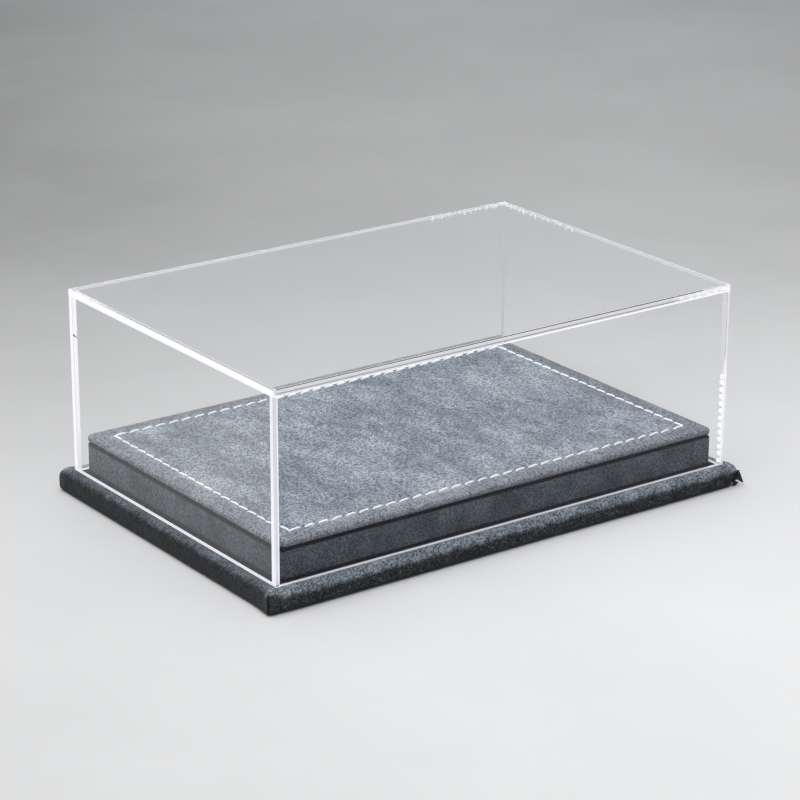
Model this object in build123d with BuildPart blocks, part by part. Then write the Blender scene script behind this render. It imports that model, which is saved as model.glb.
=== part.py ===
from build123d import *
import os

# Display case: a clear lift-off cover over a leather-wrapped base.
#
# The base is a bullnosed plinth, a lower riser screwed onto it, and a thin stitched leather
# panel glued onto the riser. The cover is five flat acrylic sheets cemented into a box that
# is open underneath. It drops over the riser and stands on the plinth's rim.
#
# Millimetres. +X runs along the long side, -Y is the long front side, +Z is up, and the
# origin is the middle of the plinth's underside.

# Driving dimensions
leather = 1.1

plinth_width = 262.4
plinth_depth = 180.0
plinth_board_thickness = 9.0
plinth_corner = 5.0
plinth_top_round = 4.6
plinth_bottom_round = 2.8
turn_under = 16.0
fold_slit_width = 0.5
fold_slit_depth = 1.6

riser_width = 238.6
riser_depth = 158.8
riser_shift = (-1.4, -2.6)
riser_board_thickness = 14.0
riser_corner = 2.0
riser_top_round = 1.0
riser_lip = 12.0
band_seam_width = 0.3
band_seam_x = 60.0

panel_overhang = 0.3
panel_board_thickness = 1.2
panel_corner = 2.4
panel_top_round = 1.5
panel_bottom_round = 0.9
panel_lip = 12.0

stitch_inset = 9.5
stitch_pitch = 7.1
stitch_length = 5.9
thread_radius = 0.45

liner_thickness = 1.0
liner_gap = 0.3

screw_length = 20.0
screw_radius = 1.75
screw_head_radius = 3.5
screw_head_height = 1.9
screw_tip_length = 3.0
screw_recess = (3.4, 0.8, 1.0)
screw_clearance = 0.05
screw_spacing = (84.0, 108.0)
screw_grid = (3, 2)

cover_width = 250.0
cover_depth = 168.8
cover_height = 87.9
sheet = 3.0
sheet_edge = 0.25
cover_shift = (-1.3, -1.9)

# Levels, from the floor up
plinth_height = plinth_board_thickness + 2 * leather
riser_top = plinth_height + riser_board_thickness + leather
panel_top = riser_top + panel_board_thickness + 2 * leather
cover_top = plinth_height + cover_height

panel_width = riser_width + 2 * panel_overhang
panel_depth = riser_depth + 2 * panel_overhang
stitch_width = panel_width - 2 * stitch_inset
stitch_depth = panel_depth - 2 * stitch_inset


def slab(width, depth, bottom, thickness, corner, top_round, bottom_round, middle=(0, 0)):
    """A board with rounded corners and rounded top and bottom edges."""
    with BuildPart() as board:
        with BuildSketch(Plane((*middle, bottom))):
            RectangleRounded(width, depth, corner)
        extrude(amount=thickness)
        if top_round:
            fillet(board.faces().sort_by(Axis.Z)[-1].edges(), top_round)
        if bottom_round:
            fillet(board.faces().sort_by(Axis.Z)[0].edges(), bottom_round)
    return board.part


def wood_screw(clearance=0.0):
    """A countersunk wood screw, head down at the plinth board's underside, or its hole."""
    head = screw_head_radius + clearance
    shank = screw_radius + clearance
    tip = leather + screw_length + clearance
    with BuildPart() as screw:
        with BuildSketch(Plane.XZ):
            with BuildLine():
                Polyline(
                    (0, leather),
                    (head, leather),
                    (shank, leather + screw_head_height),
                    (shank, tip - screw_tip_length),
                    (0, tip),
                    close=True,
                )
            make_face()
        revolve(axis=Axis.Z)
    return screw.part


def stitch_places(run, stitches):
    """Middles of evenly spaced stitches along a straight run, centred on zero."""
    pitch = run / stitches
    return [(number + 0.5) * pitch - run / 2 for number in range(stitches)]


def finish_piece(piece, label):
    """Label a finished piece and write it under the same name."""
    piece.part.label = label
    export_step(piece.part, f"parts/{label}.step")


os.makedirs("parts", exist_ok=True)

# Base: plinth -----------------------------------------------------------------------------

screw_holes = wood_screw(screw_clearance)

# The wooden core, 1.1 mm of leather smaller than the plinth all round.
plinth_core = slab(
    plinth_width - 2 * leather,
    plinth_depth - 2 * leather,
    leather,
    plinth_board_thickness,
    plinth_corner - leather,
    plinth_top_round - leather,
    plinth_bottom_round - leather,
)
with BuildPart() as plinth_board:
    add(plinth_core)
    with GridLocations(*screw_spacing, *screw_grid):
        add(screw_holes, mode=Mode.SUBTRACT)
finish_piece(plinth_board, "plinth_board")

# The skin covers the top and sides, and is turned under and glued round the underside. It is
# slit down each corner, where its two flaps meet.
fold_corners = [
    (side * (plinth_width / 2 - plinth_corner), front * (plinth_depth / 2 - plinth_corner))
    for side in (-1, 1)
    for front in (-1, 1)
]
with BuildPart() as plinth_leather:
    add(
        slab(
            plinth_width,
            plinth_depth,
            0,
            plinth_height,
            plinth_corner,
            plinth_top_round,
            plinth_bottom_round,
        )
    )
    add(plinth_core, mode=Mode.SUBTRACT)
    with BuildSketch():
        Rectangle(plinth_width - 2 * turn_under, plinth_depth - 2 * turn_under)
    extrude(amount=leather, mode=Mode.SUBTRACT)
    with GridLocations(*screw_spacing, *screw_grid):
        add(screw_holes, mode=Mode.SUBTRACT)
    for x, y in fold_corners:
        corner_frame = Plane((x, y, 0), x_dir=(1 if x > 0 else -1, 1 if y > 0 else -1, 0))
        with BuildSketch(corner_frame):
            with Locations((plinth_corner, 0)):
                Rectangle(fold_slit_depth, fold_slit_width)
        extrude(amount=plinth_height - plinth_top_round, mode=Mode.SUBTRACT)
finish_piece(plinth_leather, "plinth_leather")

# A thin felt lining fills the window inside the turned-under leather.
with BuildPart() as underside_liner:
    with BuildSketch(Plane.XY.offset(leather - liner_thickness)):
        Rectangle(
            plinth_width - 2 * (turn_under + liner_gap),
            plinth_depth - 2 * (turn_under + liner_gap),
        )
    extrude(amount=liner_thickness)
finish_piece(underside_liner, "underside_liner")

# Base: riser ------------------------------------------------------------------------------

# The riser stands a little off the plinth's middle, towards the front left.
riser_core = slab(
    riser_width - 2 * leather,
    riser_depth - 2 * leather,
    plinth_height,
    riser_board_thickness,
    riser_corner - leather,
    0,
    0,
    riser_shift,
)
with BuildPart() as riser_board:
    add(riser_core)
    with GridLocations(*screw_spacing, *screw_grid):
        add(screw_holes, mode=Mode.SUBTRACT)
finish_piece(riser_board, "riser_board")

# The leather band wraps the riser's edge and is turned in over its top. Its two ends meet in
# an open butt seam at the back.
with BuildPart() as riser_band:
    add(
        slab(
            riser_width,
            riser_depth,
            plinth_height,
            riser_board_thickness + leather,
            riser_corner,
            riser_top_round,
            0,
            riser_shift,
        )
    )
    add(riser_core, mode=Mode.SUBTRACT)
    with BuildSketch(Plane((*riser_shift, riser_top))):
        Rectangle(riser_width - 2 * riser_lip, riser_depth - 2 * riser_lip)
    extrude(amount=-leather, mode=Mode.SUBTRACT)
    with BuildSketch(Plane((*riser_shift, plinth_height))):
        with Locations((band_seam_x, riser_depth / 2 - riser_lip / 2)):
            Rectangle(band_seam_width, riser_lip)
    extrude(amount=riser_top - plinth_height, mode=Mode.SUBTRACT)
finish_piece(riser_band, "riser_band")

# Wood screws hold the riser from below. The plinth's leather is clamped between the boards.
with BuildPart() as screw_with_recess:
    add(wood_screw())
    with BuildSketch(Plane.XY.offset(leather)):
        Rectangle(screw_recess[0], screw_recess[1])
        Rectangle(screw_recess[1], screw_recess[0])
    extrude(amount=screw_recess[2], mode=Mode.SUBTRACT)
with BuildPart() as riser_screws:
    with GridLocations(*screw_spacing, *screw_grid):
        add(screw_with_recess.part)
finish_piece(riser_screws, "riser_screws")

# Base: stitched panel ---------------------------------------------------------------------

panel_core = slab(
    panel_width - 2 * leather,
    panel_depth - 2 * leather,
    riser_top + leather,
    panel_board_thickness,
    panel_corner - leather,
    panel_top_round - leather,
    0,
    riser_shift,
)
with BuildPart() as panel_board:
    add(panel_core)
finish_piece(panel_board, "panel_board")

# Running stitches go round the panel in one rectangle. The thread is pulled down into the
# leather, so each stitch lies in a short groove, level with the surface.
stitch_plane = Plane((*riser_shift, panel_top - thread_radius))
long_run_places = [
    (x, y)
    for x in stitch_places(stitch_width, round(stitch_width / stitch_pitch))
    for y in (-stitch_depth / 2, stitch_depth / 2)
]
short_run_places = [
    (x, y)
    for x in (-stitch_width / 2, stitch_width / 2)
    for y in stitch_places(stitch_depth, round(stitch_depth / stitch_pitch))
]

# The panel's leather is turned under the board, and its edge stands proud of the riser.
with BuildPart() as panel_leather:
    add(
        slab(
            panel_width,
            panel_depth,
            riser_top,
            panel_top - riser_top,
            panel_corner,
            panel_top_round,
            panel_bottom_round,
            riser_shift,
        )
    )
    add(panel_core, mode=Mode.SUBTRACT)
    with BuildSketch(Plane((*riser_shift, riser_top))):
        Rectangle(panel_width - 2 * panel_lip, panel_depth - 2 * panel_lip)
    extrude(amount=leather, mode=Mode.SUBTRACT)
    with Locations(stitch_plane):
        with Locations(long_run_places):
            Box(stitch_length, 2 * thread_radius, 2 * thread_radius, mode=Mode.SUBTRACT)
        with Locations(short_run_places):
            Box(2 * thread_radius, stitch_length, 2 * thread_radius, mode=Mode.SUBTRACT)
finish_piece(panel_leather, "panel_leather")

with BuildPart() as panel_thread:
    with Locations(stitch_plane):
        with Locations(long_run_places):
            Cylinder(thread_radius, stitch_length, rotation=(0, 90, 0))
        with Locations(short_run_places):
            Cylinder(thread_radius, stitch_length, rotation=(90, 0, 0))
finish_piece(panel_thread, "panel_thread")

# Cover ------------------------------------------------------------------------------------

cover_x, cover_y = cover_shift
wall_height = cover_height - sheet
side_depth = cover_depth - 2 * sheet

# The top sheet lies on all four walls, and the front and back sheets overlap the side ones.
with BuildPart() as cover_top_panel:
    with BuildSketch(Plane((cover_x, cover_y, cover_top - sheet))):
        Rectangle(cover_width, cover_depth)
    extrude(amount=sheet)
    chamfer(cover_top_panel.faces().sort_by(Axis.Z)[-1].edges(), sheet_edge)
finish_piece(cover_top_panel, "cover_top_panel")

for label, side in (("cover_front_panel", -1), ("cover_back_panel", 1)):
    wall_y = cover_y + side * (cover_depth - sheet) / 2
    with BuildPart() as long_wall:
        with BuildSketch(Plane((cover_x, wall_y, plinth_height))):
            Rectangle(cover_width, sheet)
        extrude(amount=wall_height)
        outer_face = long_wall.faces().sort_by(Axis.Y)[0 if side < 0 else -1]
        chamfer(outer_face.edges().filter_by(Axis.Z), sheet_edge)
    finish_piece(long_wall, label)

for label, side in (("cover_left_panel", -1), ("cover_right_panel", 1)):
    wall_x = cover_x + side * (cover_width - sheet) / 2
    with BuildPart() as short_wall:
        with BuildSketch(Plane((wall_x, cover_y, plinth_height))):
            Rectangle(sheet, side_depth)
        extrude(amount=wall_height)
    finish_piece(short_wall, label)
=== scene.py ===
import math
import random

import bpy
from mathutils import Matrix, Vector, noise


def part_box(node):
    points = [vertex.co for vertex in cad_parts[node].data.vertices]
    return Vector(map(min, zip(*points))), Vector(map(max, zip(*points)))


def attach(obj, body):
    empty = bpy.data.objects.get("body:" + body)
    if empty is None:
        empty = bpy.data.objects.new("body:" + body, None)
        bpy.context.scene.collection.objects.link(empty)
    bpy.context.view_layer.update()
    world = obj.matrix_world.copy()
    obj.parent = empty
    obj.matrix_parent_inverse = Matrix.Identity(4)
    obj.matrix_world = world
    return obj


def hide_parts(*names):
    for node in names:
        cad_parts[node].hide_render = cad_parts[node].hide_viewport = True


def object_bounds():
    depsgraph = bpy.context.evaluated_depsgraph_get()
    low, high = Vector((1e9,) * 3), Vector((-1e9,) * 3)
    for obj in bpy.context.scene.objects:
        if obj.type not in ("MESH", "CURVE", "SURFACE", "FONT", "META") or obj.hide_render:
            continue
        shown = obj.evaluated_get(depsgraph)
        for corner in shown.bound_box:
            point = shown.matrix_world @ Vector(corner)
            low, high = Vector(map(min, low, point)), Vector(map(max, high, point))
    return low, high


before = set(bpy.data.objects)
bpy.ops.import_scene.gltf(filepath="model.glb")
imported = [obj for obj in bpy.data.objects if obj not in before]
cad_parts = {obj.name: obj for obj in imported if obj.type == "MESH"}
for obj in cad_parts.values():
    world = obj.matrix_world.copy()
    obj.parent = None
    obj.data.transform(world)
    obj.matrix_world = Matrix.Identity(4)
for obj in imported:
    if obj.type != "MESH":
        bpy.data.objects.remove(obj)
cad_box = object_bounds()

# Display case: clear lift-off cover over a leather-wrapped base.
# Lengths are metres, and the places of all pieces come from the CAD nodes' boxes. The cover
# keeps its CAD panels. The leathers and the thread are made again here over their CAD nodes.

MM = 0.001
SKIN = 1.0 * MM
SEAT_GAP = 0.08 * MM

PLINTH_CORNER = 1.7 * MM
PLINTH_TOP_ROUND = 4.6 * MM
PLINTH_BOTTOM_ROUND = 2.4 * MM
CORNER_PULL = Vector((-1.2, 0.8, 0)) * MM
RIGHT_TUCK = 0.8 * MM

RISER_CORNER = 1.2 * MM
RISER_ROUND = 1.1 * MM
RISER_LIP = 12 * MM
BAND_SEAM_X = 60 * MM

PANEL_CORNER = 2.6 * MM
PANEL_TOP_ROUND = 1.3 * MM
PANEL_BOTTOM_ROUND = 1.2 * MM
PANEL_LIP = 12 * MM

STITCH_PITCH = 7.1 * MM
STITCH_GAP = 1.3 * MM
STITCH_SLANT = 0.42 * MM
STITCH_RISE = 0.5 * MM
STITCH_DIVE = 0.95 * MM
THREAD_RADIUS = 0.45 * MM
THREAD_WAIST = 0.38 * MM


# Geometry helpers -------------------------------------------------------------------------


class Place:
    """A CAD node's box: its width, depth, low and high z, and its middle."""

    def __init__(self, *nodes):
        boxes = [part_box(node) for node in nodes]
        self.low = Vector(min(box[0][axis] for box in boxes) for axis in range(3))
        self.high = Vector(max(box[1][axis] for box in boxes) for axis in range(3))
        self.width = self.high.x - self.low.x
        self.depth = self.high.y - self.low.y
        self.middle = (self.low + self.high) / 2


def ring(place, inset, corner, z, along_x, along_y, around):
    """A closed loop of points on a rounded rectangle, closest together near its corners."""
    corner = max(corner - inset, 0.05 * MM)
    half_x, half_y = place.width / 2 - inset - corner, place.depth / 2 - inset - corner
    centre_x, centre_y = place.middle.x, place.middle.y
    middles = [(half_x, -half_y), (half_x, half_y), (-half_x, half_y), (-half_x, -half_y)]
    points = []
    for index, (x, y) in enumerate(middles):
        start = math.radians(90 * index - 90)
        arc_middle = Vector((centre_x + x, centre_y + y, z))
        for step in range(around):
            turn = start + math.pi / 2 * step / around
            points.append(arc_middle + corner * Vector((math.cos(turn), math.sin(turn), 0)))
        turn = start + math.pi / 2
        reach = corner * Vector((math.cos(turn), math.sin(turn), 0))
        next_x, next_y = middles[(index + 1) % 4]
        begin = arc_middle + reach
        end = Vector((centre_x + next_x, centre_y + next_y, z)) + reach
        steps = along_y if index % 2 == 0 else along_x
        for step in range(steps):
            points.append(begin.lerp(end, (1 - math.cos(math.pi * step / steps)) / 2))
    return points


def quarter(start, end, steps):
    """(cosine, sine) pairs at equal steps from start to end degrees."""
    turns = [math.radians(start + (end - start) * step / steps) for step in range(steps + 1)]
    return [(math.cos(turn), math.sin(turn)) for turn in turns]


def skin_over(name, rings, closed=False):
    """A mesh object with a skin over the rings in order, capped at both ends or closed."""
    count, levels = len(rings[0]), len(rings)
    vertices = [point for loop in rings for point in loop]
    faces = []
    for level in range(levels if closed else levels - 1):
        low, high = level * count, (level + 1) % levels * count
        for place in range(count):
            after = (place + 1) % count
            faces.append((low + place, high + place, high + after, low + after))
    if not closed:
        last = (levels - 1) * count
        faces.append(list(range(count)))
        faces.append([last + place for place in reversed(range(count))])
    return mesh_object(name, vertices, faces)


def mesh_object(name, vertices, faces, smooth=True):
    """A mesh object from plain lists."""
    mesh = bpy.data.meshes.new(name)
    mesh.from_pydata(vertices, [], faces)
    mesh.validate()
    mesh.update()
    mesh.polygons.foreach_set("use_smooth", [smooth] * len(mesh.polygons))
    piece = bpy.data.objects.new(name, mesh)
    bpy.context.scene.collection.objects.link(piece)
    return piece


def bell(distance, width):
    """A smooth hump, 1 at no distance and near 0 beyond twice the width."""
    return math.exp(-((distance / width) ** 2))


def fade(value, start, end):
    """0 before start and 1 after end, smooth between, whichever of them is higher."""
    share = min(1.0, max(0.0, (value - start) / (end - start)))
    return share * share * (3 - 2 * share)


def waviness(point, scale, offset):
    """Smooth noise between about -1 and 1, with features of the given size."""
    return noise.noise(point / scale + Vector((offset, offset, offset)))


def finish_piece(piece, body, slot, material, *nodes):
    """Give a visual piece its material and its body, and hide the nodes it stands for. The slot
    is not used.
    """
    piece.data.materials.append(material)
    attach(piece, body)
    if nodes:
        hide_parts(*nodes)


class Plates:
    """Collects thin flat and round pieces into one mesh."""

    def __init__(self):
        self.vertices = []
        self.faces = []

    def film(self, outline, facing, thickness=0.1 * MM):
        """A thin plate with the given outline, in the plane that faces the given way."""
        offset = Vector(facing) * thickness / 2
        count, base = len(outline), len(self.vertices)
        self.vertices += [point - offset for point in outline]
        self.vertices += [point + offset for point in outline]
        self.faces.append([base + place for place in reversed(range(count))])
        self.faces.append([base + count + place for place in range(count)])
        for place in range(count):
            after = (place + 1) % count
            self.faces.append(
                (base + place, base + after, base + count + after, base + count + place)
            )

    def bead(self, points, radius, sides=6):
        """A round thread through the points."""
        base = len(self.vertices)
        for index, point in enumerate(points):
            ahead = points[min(index + 1, len(points) - 1)] - points[max(index - 1, 0)]
            ahead.normalize()
            first = ahead.orthogonal().normalized()
            second = ahead.cross(first)
            for side in range(sides):
                turn = 2 * math.pi * side / sides
                self.vertices.append(
                    point + radius * (first * math.cos(turn) + second * math.sin(turn))
                )
        for index in range(len(points) - 1):
            low, high = base + index * sides, base + (index + 1) * sides
            for side in range(sides):
                after = (side + 1) % sides
                self.faces.append((low + side, low + after, high + after, high + side))
        last = base + (len(points) - 1) * sides
        self.faces.append([base + side for side in reversed(range(sides))])
        self.faces.append([last + side for side in range(sides)])


def lozenge(centre, along, across, length, thickness, points=12):
    """A flat leaf shape, pointed along one direction."""
    outline = []
    for step in range(points):
        turn = 2 * math.pi * step / points
        narrow = math.sin(turn) * abs(math.sin(turn)) ** 0.3
        outline.append(
            centre + along * (length / 2 * math.cos(turn)) + across * (thickness / 2 * narrow)
        )
    return outline


# Material helpers -------------------------------------------------------------------------


class Nodes:
    """Builds one material's node tree. A socket given as a value is linked."""

    def __init__(self, name):
        self.material = bpy.data.materials.new(name)
        self.material.use_nodes = True
        self.tree = self.material.node_tree
        self.tree.nodes.clear()
        self.place = self.add("ShaderNodeTexCoord").outputs["Object"]
        self.apart = self.add("ShaderNodeSeparateXYZ", Vector=self.place).outputs

    def add(self, kind, settings=None, **inputs):
        node = self.tree.nodes.new(kind)
        for key, value in (settings or {}).items():
            setattr(node, key, value)
        for key, value in inputs.items():
            self.put(node.inputs[key.replace("_", " ")], value)
        return node

    def put(self, socket, value):
        if isinstance(value, bpy.types.NodeSocket):
            self.tree.links.new(value, socket)
        else:
            socket.default_value = value

    def math(self, operation, first, second=0.0):
        node = self.tree.nodes.new("ShaderNodeMath")
        node.operation = operation
        self.put(node.inputs[0], first)
        self.put(node.inputs[1], second)
        return node.outputs[0]

    def times(self, *values):
        product = values[0]
        for value in values[1:]:
            product = self.math("MULTIPLY", product, value)
        return product

    def plus(self, *values):
        total = values[0]
        for value in values[1:]:
            total = self.math("ADD", total, value)
        return total

    def most(self, *values):
        highest = values[0]
        for value in values[1:]:
            highest = self.math("MAXIMUM", highest, value)
        return highest

    def rest(self, value):
        """What is left of 1."""
        return self.math("SUBTRACT", 1.0, value)

    def from_middle(self, axis, middle):
        """Distance from a middle plane across one axis."""
        return self.math("ABSOLUTE", self.math("SUBTRACT", self.apart[axis], middle))

    def fade(self, value, start, end, low=0.0, high=1.0):
        """low before start and high after end, smooth between."""
        node = self.tree.nodes.new("ShaderNodeMapRange")
        node.interpolation_type = "SMOOTHSTEP"
        settings = (value, start, end, low, high)
        if start > end:
            settings = (value, end, start, high, low)
        for socket, setting in zip(node.inputs, settings):
            self.put(socket, setting)
        return node.outputs[0]

    def mix(self, factor, first, second, blend="MIX"):
        """Mix two colours."""
        node = self.tree.nodes.new("ShaderNodeMix")
        node.data_type = "RGBA"
        node.blend_type = blend
        self.put(node.inputs[0], factor)
        self.put(node.inputs[6], first)
        self.put(node.inputs[7], second)
        return node.outputs[2]

    def blend(self, factor, first, second):
        """Mix two shaders."""
        node = self.add("ShaderNodeMixShader", Fac=factor)
        self.put(node.inputs[1], first)
        self.put(node.inputs[2], second)
        return node.outputs[0]

    def ramp(self, factor, stops):
        """A colour ramp through (place, colour) stops."""
        node = self.tree.nodes.new("ShaderNodeValToRGB")
        elements = node.color_ramp.elements
        elements[0].position, elements[0].color = stops[0]
        elements[1].position, elements[1].color = stops[-1]
        for place, colour in stops[1:-1]:
            elements.new(place).color = colour
        self.put(node.inputs[0], factor)
        return node.outputs[0]

    def noise(self, size, detail=3.0, roughness=0.5, vector=None):
        """Noise whose features are about size metres across."""
        node = self.add(
            "ShaderNodeTexNoise",
            Vector=vector or self.place,
            Scale=1 / size,
            Detail=detail,
            Roughness=roughness,
        )
        return node.outputs["Fac"]

    def bump(self, height, distance, strength=1.0):
        return self.add(
            "ShaderNodeBump", Height=height, Distance=distance, Strength=strength
        ).outputs[0]

    def output(self, shader):
        self.add("ShaderNodeOutputMaterial", Surface=shader)
        return self.material


def grey(value, blue=0.0):
    """A colour near grey, a little bluer as blue grows."""
    return (value * (1 - blue), value, value * (1 + blue), 1)


# Leather materials ------------------------------------------------------------------------


def leather_shader(n, colour, speckle, grain, brushed=(1, 1, 1)):
    """Brushed split leather over a base colour: salt and pepper specks and a fine nap."""
    along_nap = n.add("ShaderNodeMapping", Vector=n.place, Scale=brushed).outputs[0]
    nap = n.noise(grain, 2.0, 0.65, along_nap)
    fine = n.noise(grain * 0.5, 2.0, 0.6, along_nap)
    grains = n.plus(n.fade(nap, 0.38, 0.62), n.times(n.fade(fine, 0.38, 0.62), 0.8))
    shade = n.plus(1.0 - speckle * 0.9, n.times(grains, speckle))
    shade = n.add("ShaderNodeCombineColor", Red=shade, Green=shade, Blue=shade).outputs[0]
    pores = n.add("ShaderNodeTexVoronoi", Vector=n.place, Scale=1 / (0.7 * MM)).outputs[0]
    relief = n.plus(n.times(nap, 0.8), n.times(fine, 0.4), n.times(pores, 0.2))
    return n.add(
        "ShaderNodeBsdfPrincipled",
        Base_Color=n.mix(1.0, colour, shade, "MULTIPLY"),
        Roughness=n.plus(0.65, n.times(nap, 0.25)),
        Normal=n.bump(relief, 0.35 * MM, 0.9),
        Sheen_Weight=0.06,
        Sheen_Roughness=0.5,
        Specular_IOR_Level=0.2,
    ).outputs[0]


def plinth_leather():
    """Near-black sides with pale specks, and a pale rim outside the cover: partly rubbed wear,
    partly painted light on the rounded top that faces the lamps.
    """
    n = Nodes("plinth_leather")
    plinth, cover = Place("plinth_leather"), Place(*COVER_PANELS)
    blotches = n.noise(9 * MM, 3.0, 0.6)
    wander = n.times(n.math("SUBTRACT", n.noise(4 * MM, 3.0, 0.6), 0.5), 3 * MM)
    # The pale rim band is partly rubbed wear and partly painted light on the upward-facing top;
    # it reaches less far down at the left end.
    on_left = n.fade(n.apart[0], plinth.low.x + 6 * MM, plinth.low.x + 3 * MM, -1.0, 1.4)
    height = n.plus(n.apart[2], wander, n.times(on_left, -MM))
    rim = n.fade(height, plinth.high.z - 4.4 * MM, plinth.high.z - 1.4 * MM)
    # Inside the cover's footprint the top is painted near-black: painted shade in the channel
    # under the cover, over unworn dye.
    across = n.math("SUBTRACT", n.from_middle(0, cover.middle.x), cover.width / 2)
    along = n.math("SUBTRACT", n.from_middle(1, cover.middle.y), cover.depth / 2)
    shaded_unworn_inside = n.fade(n.most(across, along), 0.2 * MM, -0.9 * MM)
    corner_x = n.math("SUBTRACT", n.from_middle(0, 0), plinth.width / 2)
    corner_y = n.math("SUBTRACT", n.from_middle(1, 0), plinth.depth / 2)
    corner = n.fade(n.math("MINIMUM", corner_x, corner_y), -7 * MM, -3 * MM)
    pulled = n.times(
        n.math("LESS_THAN", n.apart[0], 0),
        n.math("LESS_THAN", n.apart[1], 0),
        CORNER_PULL.y - CORNER_PULL.x,
    )
    apart = n.math("ABSOLUTE", n.plus(corner_x, n.times(corner_y, -1.0), n.times(pulled, -1.0)))
    # The pinched corner creases are painted near-black: painted shade.
    crease = n.times(n.fade(apart, 0.8 * MM, 0.25 * MM), corner, n.rest(rim))
    # Darker towards the floor: painted shade at the foot of the sides.
    foot = n.fade(n.apart[2], 3.0 * MM, 0.4 * MM)
    specks = n.fade(n.noise(0.95 * MM, 2.0, 0.6), 0.5, 0.64)
    side = n.ramp(blotches, [(0.35, grey(0.012, 0.15)), (0.65, grey(0.035, 0.15))])
    side = n.mix(n.times(specks, 0.4), side, grey(0.15, 0.12))
    top = n.ramp(blotches, [(0.35, grey(0.17, 0.14)), (0.65, grey(0.28, 0.12))])
    # Pale top colour over the rim: painted light as well as rubbed wear.
    colour = n.mix(rim, side, top)
    colour = n.mix(n.times(corner, rim, 0.6), colour, grey(0.32, 0.02))
    colour = n.mix(n.times(corner, n.rest(rim), 0.35), colour, grey(0.06, 0.05))
    # Painted shade: the strip along the left end is darkened, dimming the light it gets from the
    # left lamp.
    left_strip_shade = n.fade(n.apart[0], plinth.low.x + 6.5 * MM, plinth.low.x + 4.5 * MM)
    colour = n.mix(n.times(left_strip_shade, n.rest(corner), 0.48), colour, grey(0.004, 0.1))
    # Painted shade near the floor.
    colour = n.mix(n.times(foot, 0.75), colour, grey(0.006, 0.1))
    # Painted shade: near-black inside the cover's footprint and in the corner creases.
    colour = n.mix(n.most(shaded_unworn_inside, crease), colour, grey(0.006, 0.12))
    return n.output(leather_shader(n, colour, 0.85, 1.1 * MM))


def shaded_torn_leather():
    """Near-black leather for the scraps at the torn flap: painted shade in the hollow there, over
    the raw black inside of the leather.
    """
    n = Nodes("shaded_torn_leather")
    fibres = n.noise(1.5 * MM, 3.0, 0.6)
    colour = n.ramp(fibres, [(0.4, grey(0.003)), (0.65, grey(0.02))])
    return n.output(leather_shader(n, colour, 0.8, 0.9 * MM))


def riser_leather():
    """Smooth slate leather, painted near-black as shade in the seam under the panel at its top
    and where it meets the plinth.
    """
    n = Nodes("riser_leather")
    riser = Place("riser_band")
    clouds = n.noise(16 * MM, 4.0, 0.6)
    colour = n.ramp(clouds, [(0.38, grey(0.06, 0.2)), (0.62, grey(0.12, 0.16))])
    # Painted shade: a near-black band at the top, in the seam under the panel, and one at the
    # foot where the riser meets the plinth; the top band reaches lower at the left end.
    lower_on_left = n.fade(n.apart[0], riser.low.x + 1.2 * MM, riser.low.x + 0.6 * MM)
    height = n.plus(n.apart[2], n.times(lower_on_left, 0.4 * MM))
    seam_and_foot_shade = n.most(
        n.fade(height, riser.high.z - 1.45 * MM, riser.high.z - 1.2 * MM),
        n.fade(n.apart[2], riser.low.z + 1.8 * MM, riser.low.z + 0.8 * MM),
    )
    colour = n.mix(seam_and_foot_shade, colour, grey(0.0008))
    return n.output(leather_shader(n, colour, 0.75, 1.3 * MM))


def panel_leather():
    """Pale blue-grey split leather with soft clouds, greyer outside the stitches, with painted
    shade darkening its side towards the bottom and a painted black shadow line in the seam at its
    foot.
    """
    n = Nodes("panel_leather")
    panel, thread = Place("panel_leather"), Place("panel_thread")
    stretched = n.add("ShaderNodeMapping", Vector=n.place, Scale=(1.2, 0.6, 1)).outputs[0]
    clouds = n.noise(24 * MM, 4.0, 0.6, stretched)
    patches = n.noise(7 * MM, 3.0, 0.6, stretched)
    shade = n.plus(n.times(clouds, 0.6), n.times(patches, 0.4))
    stops = [(0.4, grey(0.215, 0.14)), (0.5, grey(0.29, 0.13)), (0.6, grey(0.385, 0.1))]
    colour = n.ramp(shade, stops)
    across = n.math("SUBTRACT", n.from_middle(0, thread.middle.x), thread.width / 2)
    along = n.math("SUBTRACT", n.from_middle(1, thread.middle.y), thread.depth / 2)
    border = n.fade(n.most(across, along), 0.5 * MM, 4 * MM)
    colour = n.mix(n.times(border, 0.5), colour, grey(0.18, 0.04))
    # Painted shade: the side darkens towards its lower edge, and its lowest part is painted black
    # as the shadow in the seam over the riser.
    edge = n.fade(n.apart[2], panel.high.z - 1.2 * MM, panel.low.z + 1.2 * MM)
    seam_shadow = n.fade(n.apart[2], panel.low.z + 0.95 * MM, panel.low.z + 0.65 * MM)
    colour = n.mix(n.times(edge, 0.2), colour, grey(0.04, 0.1))
    colour = n.mix(seam_shadow, colour, grey(0.0008))
    return n.output(leather_shader(n, colour, 0.72, 1.05 * MM, (1, 0.65, 1)))


# Other base materials ---------------------------------------------------------------------


def thread_material():
    """White waxed thread with fibres along its twist, and a painted glow."""
    n = Nodes("white_thread")
    fibres = n.noise(0.25 * MM, 3.0, 0.6)
    colour = n.ramp(fibres, [(0.3, (0.88, 0.88, 0.9, 1)), (0.6, (0.97, 0.98, 1.0, 1))])
    shader = n.add(
        "ShaderNodeBsdfPrincipled",
        Base_Color=colour,
        Roughness=n.plus(0.5, n.times(fibres, 0.2)),
        Normal=n.bump(fibres, 0.08 * MM, 0.5),
        Sheen_Weight=0.2,
        # Painted glow: the thread emits a little light so it reads brighter.
        Emission_Color=(1, 1, 1, 1),
        Emission_Strength=0.3,
    )
    return n.output(shader.outputs[0])


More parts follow.
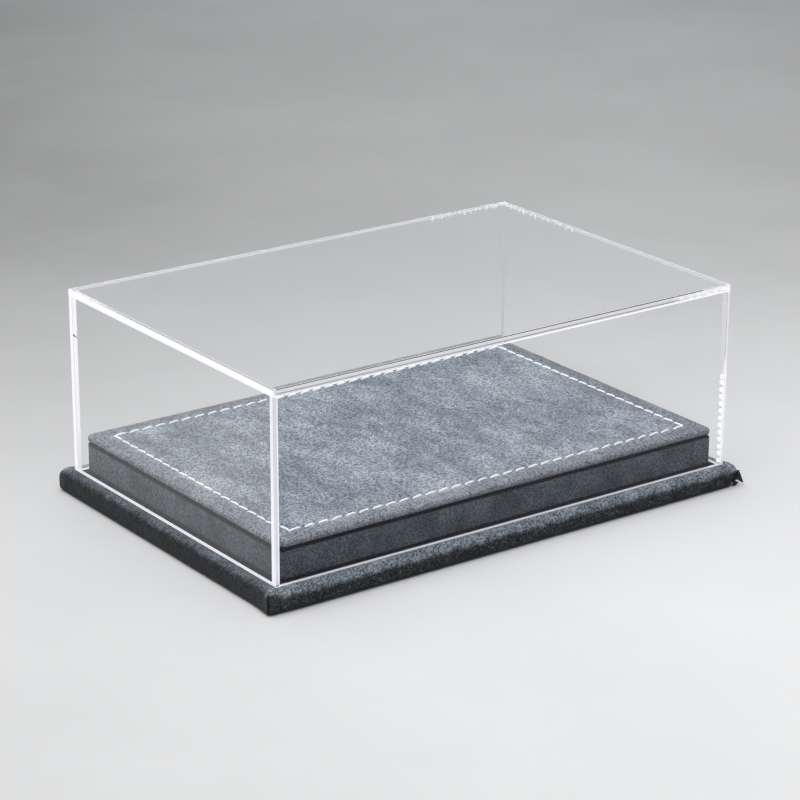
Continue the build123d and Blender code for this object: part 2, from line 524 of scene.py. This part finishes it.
def fibreboard_material():
    """Black dyed fibreboard, with short paler fibres."""
    n = Nodes("black_fibreboard")
    fibres = n.noise(1.2 * MM, 5.0, 0.7)
    colour = n.ramp(fibres, [(0.3, (0.010, 0.009, 0.008, 1)), (0.7, (0.05, 0.045, 0.04, 1))])
    shader = n.add(
        "ShaderNodeBsdfPrincipled",
        Base_Color=colour,
        Roughness=n.plus(0.75, n.times(fibres, 0.2)),
        Normal=n.bump(fibres, 0.2 * MM, 0.5),
    )
    return n.output(shader.outputs[0])


def felt_material():
    """Black needle felt with loose fibres."""
    n = Nodes("black_felt")
    fibres = n.noise(0.7 * MM, 5.0, 0.75)
    tufts = n.noise(5 * MM, 3.0, 0.6)
    shade = n.plus(n.times(fibres, 0.7), n.times(tufts, 0.3))
    colour = n.ramp(shade, [(0.35, grey(0.012)), (0.7, grey(0.07))])
    shader = n.add(
        "ShaderNodeBsdfPrincipled",
        Base_Color=colour,
        Roughness=n.plus(0.85, n.times(fibres, 0.1)),
        Normal=n.bump(fibres, 0.5 * MM, 0.9),
        Sheen_Weight=0.4,
    )
    return n.output(shader.outputs[0])


def screw_material():
    """Zinc plated steel with fine turning marks."""
    n = Nodes("zinc_screw")
    marks = n.noise(0.3 * MM, 3.0, 0.6)
    colour = n.ramp(marks, [(0.3, (0.5, 0.48, 0.4, 1)), (0.7, (0.72, 0.7, 0.62, 1))])
    shader = n.add(
        "ShaderNodeBsdfPrincipled",
        Base_Color=colour,
        Metallic=1.0,
        Roughness=n.plus(0.25, n.times(marks, 0.2)),
        Normal=n.bump(marks, 0.05 * MM, 0.5),
    )
    return n.output(shader.outputs[0])


# Cover ------------------------------------------------------------------------------------

COVER_PANELS = (
    "cover_top_panel",
    "cover_front_panel",
    "cover_back_panel",
    "cover_left_panel",
    "cover_right_panel",
)
ACRYLIC_IOR = 1.49
WHITE_JOINT_BACK_LEFT = 64.5 * MM
BREAK_LEAN = 1.8 * MM
BREAK_WIDTH = 0.9 * MM
WHITE_JOINT_FRONT_RIGHT = 46 * MM
FILM_MARGIN = 0.1 * MM
FILM_OFFSET = 0.15 * MM


def lets_light_in(n, shader):
    """Let lamps' and diffuse light straight through a clear surface, as thin sheet does."""
    path = n.add("ShaderNodeLightPath").outputs
    unseen = n.most(path["Is Shadow Ray"], path["Is Diffuse Ray"])
    through = n.add("ShaderNodeBsdfTransparent", Color=(0.95, 0.95, 0.96, 1)).outputs[0]
    return n.blend(unseen, shader, through)


def on_half(n, value, middle, above, below):
    """One value on the high side of a middle, and another on its low side."""
    side = n.math("GREATER_THAN", value, middle)
    return n.plus(n.times(side, above), n.times(n.rest(side), below))


def acrylic_material():
    """Clear sheet: its cemented joints vanish, and its cut edges are more or less frosted and
    given a painted glow.
    """
    n = Nodes("clear_acrylic")
    cover, top = Place(*COVER_PANELS), Place("cover_top_panel")
    sheet = top.high.z - top.low.z
    near = 0.1 * MM
    half_x, half_y = cover.width / 2, cover.depth / 2
    across = n.from_middle(0, cover.middle.x)
    along = n.from_middle(1, cover.middle.y)
    x, y, height = n.apart

    def above(value, limit):
        return n.math("GREATER_THAN", value, limit)

    def below(value, limit):
        return n.math("LESS_THAN", value, limit)

    inside_skin = n.times(
        below(across, half_x - near),
        below(along, half_y - near),
        below(height, cover.high.z - near),
        above(height, cover.low.z + near),
    )
    in_room = n.times(
        below(across, half_x - sheet + near),
        below(along, half_y - sheet + near),
        below(height, top.low.z + near),
    )
    joint = n.times(inside_skin, n.rest(in_room))

    on_left = below(x, cover.low.x + near)
    on_right = above(x, cover.high.x - near)
    on_front = below(y, cover.low.y + near)
    on_back = above(y, cover.high.y - near)
    in_top_sheet = above(height, top.low.z + 0.02 * MM)
    rim = n.times(in_top_sheet, below(height, top.high.z - near))
    wall_end = n.times(n.rest(in_top_sheet), above(along, half_y - sheet))

    front_rim = n.fade(height, top.low.z + 0.9 * MM, top.low.z + 1.8 * MM, 0.3, 0.72)
    front_left_end = n.fade(height, cover.high.z, cover.low.z, 0.5, 0.7)
    left_ends = on_half(n, y, cover.middle.y, 0.96, front_left_end)
    rope_end = cover.low.z + WHITE_JOINT_FRONT_RIGHT
    right_ends = n.fade(height, rope_end, rope_end - 6 * MM, 0.5, 0.9)
    # How frosted each cut face is, and with it how much painted glow it gives off.
    frost_and_glow = n.most(
        n.times(rim, on_left, 0.97),
        n.times(rim, on_front, front_rim),
        n.times(rim, n.most(on_right, on_back), 0.5),
        n.times(wall_end, on_left, left_ends),
        n.times(wall_end, on_right, right_ends),
        n.times(below(height, cover.low.z + near), 0.62),
        n.times(on_left, below(height, cover.low.z + 1.5 * MM), 0.95),
    )

    saw_marks = n.noise(0.5 * MM, 3.0, 0.7)
    smears = n.noise(30 * MM, 3.0, 0.6)
    clear = n.add(
        "ShaderNodeBsdfPrincipled",
        Base_Color=(1, 1, 1, 1),
        Roughness=n.times(smears, 0.01),
        IOR=ACRYLIC_IOR,
        Specular_Tint=(0.08, 0.08, 0.09, 1),
        Transmission_Weight=1.0,
    ).outputs[0]
    frosted_and_glowing = n.add(
        "ShaderNodeBsdfPrincipled",
        Base_Color=n.mix(saw_marks, (0.88, 0.88, 0.93, 1), (0.98, 0.98, 1.0, 1)),
        Roughness=n.plus(0.3, n.times(saw_marks, 0.3)),
        IOR=ACRYLIC_IOR,
        Normal=n.bump(saw_marks, 0.05 * MM, 0.4),
        # Painted glow on the frosted edges, standing in for light piped through the sheet.
        Emission_Color=(0.96, 0.96, 1.0, 1),
        Emission_Strength=0.38,
    ).outputs[0]
    surface = n.blend(frost_and_glow, clear, frosted_and_glowing)
    gone = n.add("ShaderNodeBsdfTransparent").outputs[0]
    return n.output(lets_light_in(n, n.blend(joint, surface, gone)))


def cement_material(name, density, glow):
    """Cured white cement and trapped bubbles, or a thinner haze of them, with a painted glow."""
    n = Nodes(name)
    bubbles = n.noise(0.6 * MM, 3.0, 0.6)
    shader = n.add(
        "ShaderNodeBsdfPrincipled",
        Base_Color=n.mix(bubbles, (0.86, 0.86, 0.92, 1), (1.0, 1.0, 1.0, 1)),
        Roughness=n.plus(0.25, n.times(bubbles, 0.3)),
        Normal=n.bump(bubbles, 0.1 * MM, 0.5),
        # Painted glow, so the cement reads bright white.
        Emission_Color=(0.96, 0.96, 1.0, 1),
        Emission_Strength=glow,
    ).outputs[0]
    clear = n.add("ShaderNodeBsdfTransparent").outputs[0]
    return n.output(lets_light_in(n, n.blend(density, clear, shader)))


def cement_seams():
    """The white cement that shows in the cover's joints, and the haze between."""
    cover, top = Place(*COVER_PANELS), Place("cover_top_panel")
    sheet = top.high.z - top.low.z
    draw = random.Random(5)
    joint_z = top.low.z
    seams = Plates()
    white_left_joint(seams, cover, sheet, joint_z)
    roped_right_joint(seams, cover, sheet)
    upright_lines(seams, cover, sheet, joint_z)
    rim_lines(seams, cover, sheet, joint_z)
    bubbles_at_back(seams, cover, sheet, joint_z, draw)
    froth_at_front(seams, cover, joint_z, draw)
    white = cement_material("white_cement", 1.0, 0.52)
    piece = mesh_object("cover_cement_seams", seams.vertices, seams.faces, smooth=False)
    finish_piece(piece, "cover", "acrylic", white)

    for name, spread, density, glow in (
        ("upright", hazy_uprights, 0.7, 0.22),
        ("back", hazy_back_upright, 0.5, 0.08),
        ("rim", hazy_rim, 0.42, 0.05),
    ):
        haze = Plates()
        spread(haze, cover, sheet, joint_z)
        thin = cement_material(f"hazy_{name}_cement", density, glow)
        piece = mesh_object(f"cover_{name}_haze", haze.vertices, haze.faces, smooth=False)
        finish_piece(piece, "cover", "acrylic", thin)


def hazy_uprights(haze, cover, sheet, joint_z):
    """The cement film in the two front upright joints."""
    low, high = cover.low, cover.high
    y = low.y + sheet
    left = (low.x + FILM_MARGIN, low.x + sheet)
    right = (high.x - FILM_MARGIN, high.x - sheet)
    for outer, inner in (left, right):
        corners = [(outer, low.z), (inner, low.z), (inner, joint_z), (outer, joint_z)]
        haze.film([Vector((x, y, z)) for x, z in corners], (0, 1, 0))


def hazy_back_upright(haze, cover, sheet, joint_z):
    """The thinner cement film in the back right upright joint."""
    y, foot = cover.high.y - sheet, cover.low.z
    outer, inner = cover.high.x - FILM_MARGIN, cover.high.x - sheet
    corners = [(outer, foot), (inner, foot), (inner, joint_z), (outer, joint_z)]
    haze.film([Vector((x, y, z)) for x, z in corners], (0, 1, 0))


def hazy_rim(haze, cover, sheet, joint_z):
    """The cement film under the top sheet, all round but the front."""
    low, high = cover.low, cover.high
    left, right = low.x + FILM_MARGIN, high.x - FILM_MARGIN
    front, back = low.y + sheet, high.y - sheet
    strips = [
        (left, front, low.x + sheet, back),
        (high.x - sheet, front, right, back),
        (left, back, right, high.y - FILM_MARGIN),
    ]
    for x0, y0, x1, y1 in strips:
        corners = [(x0, y0), (x1, y0), (x1, y1), (x0, y1)]
        haze.film([Vector((x, y, joint_z)) for x, y in corners], (0, 0, 1))


def upright_lines(seams, cover, sheet, joint_z):
    """Bright lines down both borders of the front left upright joint."""
    y, inset, radius = cover.low.y + sheet, 0.3 * MM, 0.22 * MM
    for x in (cover.low.x + inset, cover.low.x + sheet - inset):
        seams.bead([Vector((x, y, cover.low.z)), Vector((x, y, joint_z))], radius)


def white_left_joint(seams, cover, sheet, joint_z):
    """The back left upright joint: white, but for a thin slanted break."""
    y, squeezed_out = cover.high.y - sheet - FILM_OFFSET, 0.8 * MM
    inner, outer = cover.low.x + sheet + squeezed_out, cover.low.x + FILM_MARGIN
    foot, broken = cover.low.z, cover.low.z + WHITE_JOINT_BACK_LEFT
    above = broken + BREAK_WIDTH
    lower = [(outer, foot), (inner, foot), (inner, broken), (outer, broken + BREAK_LEAN)]
    upper = [(outer, above + BREAK_LEAN), (inner, above), (inner, joint_z), (outer, joint_z)]
    for corners in (lower, upper):
        seams.film([Vector((x, y, z)) for x, z in corners], (0, 1, 0))


def roped_right_joint(seams, cover, sheet):
    """The front right upright joint: slanted white strokes up to a rounded end."""
    y = cover.low.y + sheet - FILM_OFFSET
    outer = cover.high.x - FILM_MARGIN
    foot, top = cover.low.z, cover.low.z + WHITE_JOINT_FRONT_RIGHT
    pitch, bar_width = 3.5 * MM, 0.5 * MM
    slant = Vector((0.8, 0, -0.6))
    across = Vector((0.6, 0, 0.8))
    strokes = int((WHITE_JOINT_FRONT_RIGHT - 3 * MM) / pitch)
    for number in range(strokes):
        centre = Vector((outer - 1.35 * MM, y, foot + (number + 0.5) * pitch))
        seams.film(lozenge(centre, slant, across, 3.4 * MM, 2.1 * MM), (0, 1, 0))
    bar_top = top + 6 * MM
    bar = [(outer - bar_width, foot), (outer, foot), (outer, bar_top), (outer - bar_width, top)]
    seams.film([Vector((x, y, z)) for x, z in bar], (0, 1, 0))
    end = Vector((outer - 1.5 * MM, y, foot + strokes * pitch + 1.2 * MM))
    end_radius, bead_radius, steps = 0.8 * MM, 0.45 * MM, 16
    turns = [math.pi * 2 * step / steps for step in range(steps + 1)]
    loop = [end + end_radius * Vector((math.cos(turn), 0, math.sin(turn))) for turn in turns]
    seams.bead(loop, bead_radius)


def rim_lines(seams, cover, sheet, joint_z):
    """Fine bright lines of cement along the front and left of the top sheet's joint."""
    low, high = cover.low, cover.high
    z = joint_z - 0.1 * MM
    for inset, front_radius, left_radius in ((0.3 * MM, 0.26, 0.22), (sheet, 0.14, 0.1)):
        front_left = Vector((low.x + inset, low.y + inset, z))
        front_right = Vector((high.x - inset, low.y + inset, z))
        back_left = Vector((low.x + inset, high.y - inset, z))
        seams.bead([front_left, front_right], front_radius * MM)
        seams.bead([front_left, back_left], left_radius * MM)


def bubbles_at_back(seams, cover, sheet, joint_z, draw):
    """Forked white marks that hang under the top sheet near the back right corner."""
    back, right = cover.high.y - sheet * 0.6, cover.high.x - sheet * 0.6
    z = joint_z + 1.8 * MM
    back_marks, back_start, back_pitch = 7, 3 * MM, 6.6 * MM
    right_marks, right_start, right_pitch = 6, 5 * MM, 9.6 * MM
    for number in range(back_marks):
        root = Vector((right - back_start - back_pitch * number, back, z))
        forked_mark(seams, root, Vector((1, 0, 0)), (0, 1, 0), draw)
    for number in range(right_marks):
        root = Vector((right, back - right_start - right_pitch * number, z))
        forked_mark(seams, root, Vector((0, -1, 0)), (1, 0, 0), draw)


def forked_mark(seams, root, along, facing, draw):
    """Two crossed slanting strokes."""
    down = Vector((0, 0, -1))
    for lean in (-1, 1):
        direction = (along * lean * draw.uniform(0.5, 0.9) + down).normalized()
        across = direction.cross(Vector(facing))
        length = draw.uniform(2.8, 4.0) * MM
        centre = root + direction * length / 2 + along * lean * 0.5 * MM
        thickness = draw.uniform(1.0, 1.5) * MM
        seams.film(lozenge(centre, direction, across, length, thickness, 8), facing)


def froth_at_front(seams, cover, joint_z, draw):
    """Small bubbles in the top joint, over its last stretch on the front right."""
    bubbles, stretch = 46, 30 * MM
    for _ in range(bubbles):
        x = cover.high.x - 0.8 * MM - draw.random() ** 1.4 * stretch
        y = cover.low.y + (0.06 + draw.uniform(0, 0.25)) * MM
        z = joint_z + draw.uniform(0.3, 2.4) * MM
        centre = Vector((x, y, z))
        lean = draw.uniform(-0.5, 0.9)
        along = Vector((math.cos(lean), 0, math.sin(lean)))
        across = Vector((-math.sin(lean), 0, math.cos(lean)))
        length, thickness = draw.uniform(0.8, 2.2) * MM, draw.uniform(0.25, 0.6) * MM
        seams.film(lozenge(centre, along, across, length, thickness, 8), (0, 1, 0))


def dress_node(node, material):
    """Swap a CAD node's plain material for a better one."""
    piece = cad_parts[node]
    piece.data.materials.clear()
    piece.data.materials.append(material)


# Leather skins ----------------------------------------------------------------------------


def skin_profile(tops, place, top_round, bottom_round, unders, sink=0.0):
    """(inset, z) points of a leather skin's section, outside first and then its inside."""
    low, high = place.low.z, place.high.z - sink
    outside = [(inset, high) for inset in tops]
    for cosine, sine in quarter(90, 0, 9):
        outside.append((top_round * (1 - cosine), high - top_round * (1 - sine)))
    side = high - top_round - low - bottom_round
    outside += [(0.0, high - top_round - side * step / 4) for step in range(1, 4)]
    for cosine, sine in quarter(0, -90, 6):
        outside.append((bottom_round * (1 - cosine), low + bottom_round * (1 + sine)))
    outside += [(inset, low) for inset in unders]
    inside = [(unders[-1], low + SKIN), (bottom_round, low + SKIN)]
    inside += [(SKIN, low + bottom_round), (SKIN, high - top_round)]
    inside += [(top_round, high - SKIN), (tops[0], high - SKIN)]
    return outside, inside


def plinth_skin(material):
    """The plinth's leather, with its corners pinched where the flaps meet."""
    plinth = Place("plinth_leather")
    tops = [inset * MM for inset in (40, 16, 12, 10, 9, 8, 7.2, 6.5, 5.9, 5.4, 5.0)]
    unders = [inset * MM for inset in (4, 7, 11, 16)]
    outside, inside = skin_profile(
        tops, plinth, PLINTH_TOP_ROUND, PLINTH_BOTTOM_ROUND, unders, SEAT_GAP
    )
    rings = []
    for level, (inset, z) in enumerate(outside + inside):
        loop = ring(plinth, inset, PLINTH_CORNER, z, along_x=170, along_y=130, around=26)
        if level < len(outside):
            loop = [settled(point, plinth) for point in loop]
        rings.append(loop)
    piece = skin_over("plinth_leather_skin", rings)
    finish_piece(piece, "base", "dark_leather", material, "plinth_leather")


def settled(point, plinth):
    """A point of the plinth's outside, moved as glued leather settles and folds."""
    moved = point.copy()
    border = 12 * MM
    reach_x = plinth.width / 2 - abs(point.x)
    reach_y = plinth.depth / 2 - abs(point.y)
    if min(reach_x, reach_y) > border or point.z < plinth.low.z + 0.05 * MM:
        return moved
    outward = Vector((math.copysign(1, point.x), math.copysign(1, point.y), 0)).normalized()
    off_diagonal = (reach_x - reach_y) / math.sqrt(2)
    nearness = fade(max(reach_x, reach_y), 11 * MM, 2 * MM)
    wander = 0.35 * MM * waviness(point, 3.5 * MM, 8)
    low_down = fade(point.z, plinth.high.z - 1.5 * MM, plinth.high.z - 4 * MM)
    crease_width, lip_place, lip_width = 0.3 * MM, 0.9 * MM, 0.5 * MM
    crease = bell(off_diagonal - wander, crease_width) * nearness
    lips = bell(abs(off_diagonal - wander) - lip_place, lip_width) * nearness
    moved += outward * (0.15 * MM * lips - 1.1 * MM * crease) * low_down
    moved.z += (0.4 * MM * lips - 0.35 * MM * crease) * (1 - low_down)
    if point.x > 0:
        moved.x -= RIGHT_TUCK * fade(reach_x, border, 3 * MM)
    if point.x > 0 and point.y < 0:
        moved += hollowed(point, reach_x, reach_y)
    if point.x < 0 and point.y < 0:
        moved += CORNER_PULL * bell(math.hypot(reach_x, reach_y), 9 * MM)
    if min(reach_x, reach_y) < 3 * MM:
        slack = 0.12 * MM * (1 - waviness(point, 15 * MM, 3))
        if reach_x < reach_y:
            moved.x -= math.copysign(slack, point.x)
        else:
            moved.y -= math.copysign(slack, point.y)
    return moved


def hollowed(point, reach_x, reach_y):
    """How far the torn front right corner is pushed in under its loose flap."""
    under_flap = fade(point.z, 7.2 * MM, 5.4 * MM)
    close = fade(math.hypot(reach_x, reach_y), 6 * MM, 1 * MM)
    ragged = 0.65 + 0.3 * waviness(point, 2.2 * MM, 4)
    push = Vector((-2.1, 2.24, 0)) * MM
    return push * under_flap * close * ragged


def torn_corner(leather, torn):
    """The loose grey flap at the front right corner of the plinth, and the near-black scraps
    behind and under it that stand in for the shade in its hollow.
    """
    # The outlines are (x, z) millimetres from the foot of that corner, and each scrap
    # stands some way behind the plinth's front face.
    plinth = Place("plinth_leather")
    # The two near-black scraps are painted shade in the hollow behind and under the flap.
    shaded_fold = [(-2.1, 7.7), (0.3, 7.4), (-0.2, 6.4), (-0.8, 2.9), (-3.0, 3.1), (-2.4, 6.2)]
    flap = [(-0.7, 6.9), (0.1, 6.6), (2.6, 1.1), (2.0, 0.9), (0.4, 1.9), (-1.6, 3.3)]
    under_shaded_fold = [(-3.2, 2.8), (0.3, 1.5), (-1.4, 0.4), (-3.4, 0.2)]
    scraps = [
        ("shaded_fold", shaded_fold, 0.6, 0.4, torn),
        ("flap", flap, 0.2, 0.3, leather),
        ("under_shaded_fold", under_shaded_fold, 0.8, 0.4, torn),
    ]
    for name, outline, back, thickness, material in scraps:
        places = [
            Vector((plinth.high.x + x * MM, plinth.low.y + back * MM, z * MM)) for x, z in outline
        ]
        scrap = Plates()
        scrap.film(places, (0, 1, 0), thickness * MM)
        piece = mesh_object(f"plinth_torn_{name}", scrap.vertices, scrap.faces, smooth=False)
        finish_piece(piece, "base", "dark_leather", material)


def riser_skin(material):
    """The leather band round the riser, with its butt seam at the back."""
    riser = Place("riser_band")
    low, high = riser.low.z, riser.high.z
    pressed, edge_drop = high - 0.3 * MM, 0.45 * MM
    section = [(RISER_LIP, pressed), (RISER_LIP / 2, pressed), (2.5 * MM, high - 0.35 * MM)]
    for cosine, sine in quarter(90, 0, 5):
        drop = RISER_ROUND * (1 - sine) + edge_drop
        section.append((RISER_ROUND * (1 - cosine), high - drop))
    top_of_side = high - RISER_ROUND - edge_drop
    levels = 7
    section += [
        (0.0, top_of_side - (top_of_side - low) * step / levels) for step in range(1, levels + 1)
    ]
    section += [(SKIN, low), (SKIN, high - 2 * SKIN), (RISER_LIP, high - 1.5 * SKIN)]
    rings = []
    for inset, z in section:
        loop = ring(riser, inset, RISER_CORNER, z, along_x=420, along_y=120, around=8)
        if inset < SKIN * 0.9:
            loop = [pressed_band(point, riser) for point in loop]
        rings.append(loop)
    piece = skin_over("riser_band_skin", rings, closed=True)
    finish_piece(piece, "base", "dark_leather", material, "riser_band")


def pressed_band(point, riser):
    """A point of the band's outside: slightly uneven, and creased at the seam."""
    moved = point.copy()
    inward = Vector((riser.middle.x - point.x, riser.middle.y - point.y, 0)).normalized()
    soft = fade(point.z, riser.low.z, riser.low.z + 3 * MM)
    moved += inward * soft * (0.1 * MM + 0.1 * MM * waviness(point, 14 * MM, 5))
    if point.y > riser.middle.y:
        moved.y -= 0.5 * MM * bell(point.x - riser.middle.x - BAND_SEAM_X, 0.35 * MM)
    return moved


def stitch_rows():
    """(start, end) of the four sides of the stitched rectangle, on the panel's top."""
    thread = Place("panel_thread")
    left, right = thread.low.x + THREAD_RADIUS, thread.high.x - THREAD_RADIUS
    front, back = thread.low.y + THREAD_RADIUS, thread.high.y - THREAD_RADIUS
    corners = [Vector((left, front, 0)), Vector((right, front, 0))]
    corners += [Vector((right, back, 0)), Vector((left, back, 0))]
    return [(corners[side], corners[(side + 1) % 4]) for side in range(4)]


def stitches():
    """(start, end, number) of every stitch, in order round the rectangle."""
    places = []
    for start, end in stitch_rows():
        run = (end - start).length
        count = round(run / STITCH_PITCH)
        for number in range(count):
            begin = number / count * run + STITCH_GAP / 2 * (number > 0)
            finish = (number + 1) / count * run - STITCH_GAP / 2 * (number < count - 1)
            head, tail = start.lerp(end, begin / run), start.lerp(end, finish / run)
            places.append((head, tail, len(places)))
    return places


def panel_skin(material):
    """The panel's leather, pulled down along the stitches and soft at its edges."""
    panel = Place("panel_leather")
    rows = [0.3, 0.6, 0.9, 1.3, 1.8, 2.6]
    stitch_inset = Place("panel_thread").low.x + THREAD_RADIUS - panel.low.x
    tops = [60 * MM, 40 * MM, 25 * MM, 17 * MM]
    tops += [stitch_inset + row * MM for row in reversed(rows)] + [stitch_inset]
    tops += [stitch_inset - row * MM for row in rows]
    tops += [inset * MM for inset in (5.6, 4.4, 3.4, 2.6, 2.1)]
    unders = [2 * MM, 4 * MM, PANEL_LIP]
    outside, inside = skin_profile(tops, panel, PANEL_TOP_ROUND, PANEL_BOTTOM_ROUND, unders)
    rings = []
    for level, (inset, z) in enumerate(outside + inside):
        loop = ring(panel, inset, PANEL_CORNER, z, along_x=300, along_y=200, around=10)
        if level < len(outside) and z > panel.low.z + 1 * MM:
            loop = [quilted(point, inset, stitch_inset) for point in loop]
        rings.append(loop)
    piece = skin_over("panel_leather_skin", rings)
    finish_piece(piece, "base", "grey_leather", material, "panel_leather")


def quilted(point, inset, stitch_inset):
    """A point of the panel's top, lowered along the stitch line and towards the edge."""
    moved = point.copy()
    valley = bell(inset - stitch_inset, 1.0 * MM)
    edge = bell(inset, 3.2 * MM)
    soft = 0.08 * MM * waviness(point, 18 * MM, 2)
    moved.z += soft - 0.08 * MM - 0.2 * MM * valley - 0.15 * MM * edge
    return moved


def thread_piece(material):
    """Every stitch: a short twisted length of thread that dives into a hole at each end."""
    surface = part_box("panel_leather")[1].z
    sides, steps, ply_twist = 8, 14, 14
    vertices, faces = [], []
    for start, end, number in stitches():
        direction = (end - start).normalized()
        across = Vector((-direction.y, direction.x, 0))
        slant = STITCH_SLANT * (1 + 0.3 * math.sin(number * 2.4))
        middle, reach = (start + end) / 2, (end - start).length / 2
        base = len(vertices)
        for step in range(steps + 1):
            share = step / steps * 2 - 1
            rise = STITCH_RISE - STITCH_DIVE * abs(share) ** 6
            centre = middle + direction * reach * share + across * slant * share
            centre.z = surface - THREAD_RADIUS + rise
            slope = -STITCH_DIVE * 6 * abs(share) ** 5 * math.copysign(1, share) / reach
            upward = (Vector((0, 0, 1)) - direction * slope).normalized()
            for side in range(sides):
                turn = 2 * math.pi * side / sides
                ply = 1 + 0.1 * math.cos(2 * turn - share * ply_twist)
                radius = THREAD_WAIST * ply * (1 - 0.2 * abs(share) ** 3)
                offset = across * math.cos(turn) + upward * math.sin(turn)
                vertices.append(centre + offset * radius)
        for step in range(steps):
            for side in range(sides):
                after = (side + 1) % sides
                low, high = base + step * sides, base + (step + 1) * sides
                faces.append((low + side, low + after, high + after, high + side))
        faces.append([base + side for side in reversed(range(sides))])
        faces.append([base + steps * sides + side for side in range(sides)])
    piece = mesh_object("panel_stitches", vertices, faces)
    finish_piece(piece, "base", "thread", material, "panel_thread")


# Stage ------------------------------------------------------------------------------------

VIEW_AZIMUTH = -35.86
VIEW_ELEVATION = 19.82
VIEW_ROLL = 0.18
VIEW_DISTANCE = 1351.3 * MM
VIEW_AIM = Vector((-2.45, -3.36, -4.71)) * MM
LENS = 131.97
SENSOR = 36.0
FLOOR_HALF = 6.0


def view_directions():
    """The camera's own axes: to the right, up, and back towards the camera."""
    azimuth, elevation = math.radians(VIEW_AZIMUTH), math.radians(VIEW_ELEVATION)
    back = Vector(
        (
            math.sin(azimuth) * math.cos(elevation),
            -math.cos(azimuth) * math.cos(elevation),
            math.sin(elevation),
        )
    )
    right = Vector((0, 0, 1)).cross(back).normalized()
    return right, back.cross(right), back


def camera():
    """The camera at the photograph's viewing angle."""
    low, high = (Vector(corner) for corner in cad_box)
    aim = (low + high) / 2 + VIEW_AIM
    right, up, back = view_directions()
    turn = Matrix((right, up, back)).transposed().to_4x4()
    data = bpy.data.cameras.new("camera")
    data.lens = LENS
    data.sensor_width = SENSOR
    data.clip_end = 20
    seen = bpy.data.objects.new("camera", data)
    roll = Matrix.Rotation(math.radians(VIEW_ROLL), 4, "Z")
    seen.matrix_world = Matrix.Translation(aim + back * VIEW_DISTANCE) @ turn @ roll
    bpy.context.scene.collection.objects.link(seen)
    bpy.context.scene.camera = seen


def floor():
    """A wide pale tabletop with painted shade that darkens it softly towards the back and the
    left.
    """
    n = Nodes("pale_floor")
    right, _, back = view_directions()
    deep = n.plus(n.times(n.apart[0], -back.x), n.times(n.apart[1], -back.y))
    sideways = n.plus(n.times(n.apart[0], right.x), n.times(n.apart[1], right.y))
    leftwards = n.plus(n.times(sideways, -1.0), n.times(deep, -0.25))
    # Painted shade: the falloff of the light towards the back and the left is painted into the
    # floor's colour.
    shade_to_back = n.fade(deep, -0.2, 0.5, 0.0, 0.39)
    shade_to_left = n.fade(leftwards, -0.3, 0.3, 0.0, 0.2)
    patches = n.fade(n.noise(0.2, 4.0, 0.6), 0.3, 0.7, 0.83, 0.87)
    shade = n.plus(patches, n.times(n.plus(shade_to_back, shade_to_left), -1.0))
    colour = n.add("ShaderNodeCombineColor", Red=shade, Green=shade, Blue=shade).outputs[0]
    shader = n.add("ShaderNodeBsdfPrincipled", Base_Color=colour, Roughness=0.85)
    signs = [(-1, -1), (1, -1), (1, 1), (-1, 1)]
    corners = [Vector((x * FLOOR_HALF, y * FLOOR_HALF, 0)) for x, y in signs]
    ground = mesh_object("floor", corners, [(0, 1, 2, 3)])
    ground.data.materials.append(n.output(shader.outputs[0]))


def area_light(name, place, aim, size, power):
    """A soft rectangular lamp that shines at a point."""
    data = bpy.data.lights.new(name, "AREA")
    data.shape = "RECTANGLE"
    data.size, data.size_y = size
    data.energy = power
    lamp = bpy.data.objects.new(name, data)
    lamp.location = place
    lamp.rotation_euler = (Vector(aim) - Vector(place)).to_track_quat("-Z", "Y").to_euler()
    bpy.context.scene.collection.objects.link(lamp)


def sky():
    """Even studio surroundings, a little brighter where the sheets mirror them."""
    world = bpy.data.worlds.new("studio")
    world.use_nodes = True
    tree = world.node_tree
    background = tree.nodes["Background"]
    background.inputs["Color"].default_value = (0.95, 0.97, 1.0, 1)
    path = tree.nodes.new("ShaderNodeLightPath")
    strength = tree.nodes.new("ShaderNodeMapRange")
    strength.inputs["To Min"].default_value = 0.38
    strength.inputs["To Max"].default_value = 0.62
    tree.links.new(path.outputs["Is Glossy Ray"], strength.inputs["Value"])
    tree.links.new(strength.outputs[0], background.inputs["Strength"])
    bpy.context.scene.world = world
    bpy.context.scene.view_settings.view_transform = "Standard"


camera()
floor()
area_light("overhead", place=(-0.25, 0.1, 1.5), aim=(0, 0, 0), size=(1.6, 1.2), power=22)
area_light("left_fill", place=(-1.6, 0.3, 0.7), aim=(0, 0, 0.05), size=(1.0, 0.8), power=1.5)
sky()

acrylic = acrylic_material()
for panel in COVER_PANELS:
    dress_node(panel, acrylic)
cement_seams()

fibreboard = fibreboard_material()
for board in ("plinth_board", "riser_board", "panel_board"):
    dress_node(board, fibreboard)
dress_node("underside_liner", felt_material())
dress_node("riser_screws", screw_material())

dark_leather = plinth_leather()
plinth_skin(dark_leather)
torn_corner(dark_leather, shaded_torn_leather())
riser_skin(riser_leather())
panel_skin(panel_leather())
thread_piece(thread_material())
